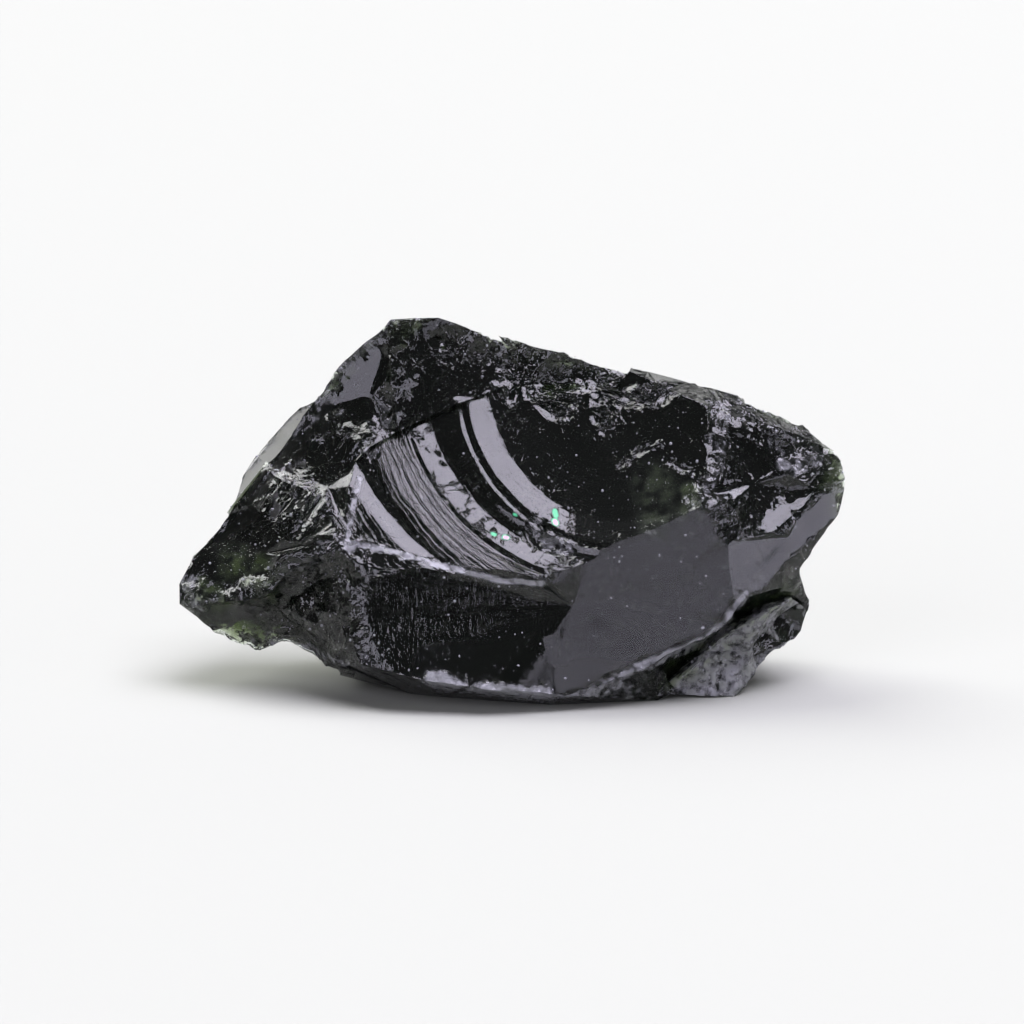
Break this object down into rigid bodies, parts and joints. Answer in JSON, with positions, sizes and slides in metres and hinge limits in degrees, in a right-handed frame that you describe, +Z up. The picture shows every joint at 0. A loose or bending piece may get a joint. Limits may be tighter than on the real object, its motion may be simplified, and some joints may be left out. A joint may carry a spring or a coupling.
{
  "type": "raw moldavite",
  "caption": "Broken piece of dark green natural glass with a large rippled shell-like fracture, sharp ridges and an etched back.",
  "frame": {"origin": "under the middle of the stone, in the plane of the flat it rests on", "axes": "+X along the stone's length from the thin arm to the blunt nose, +Z up, -Y towards the side with the large rippled break"},
  "size_m": [0.0298, 0.0142, 0.0162],
  "materials": {
    "glass": "clear very dark green natural glass, glossy on the fresh breaks and frosted on the old skin"
  },
  "bodies": {
    "root": {"moldavite": "glass"}
  },
  "joints": []
}
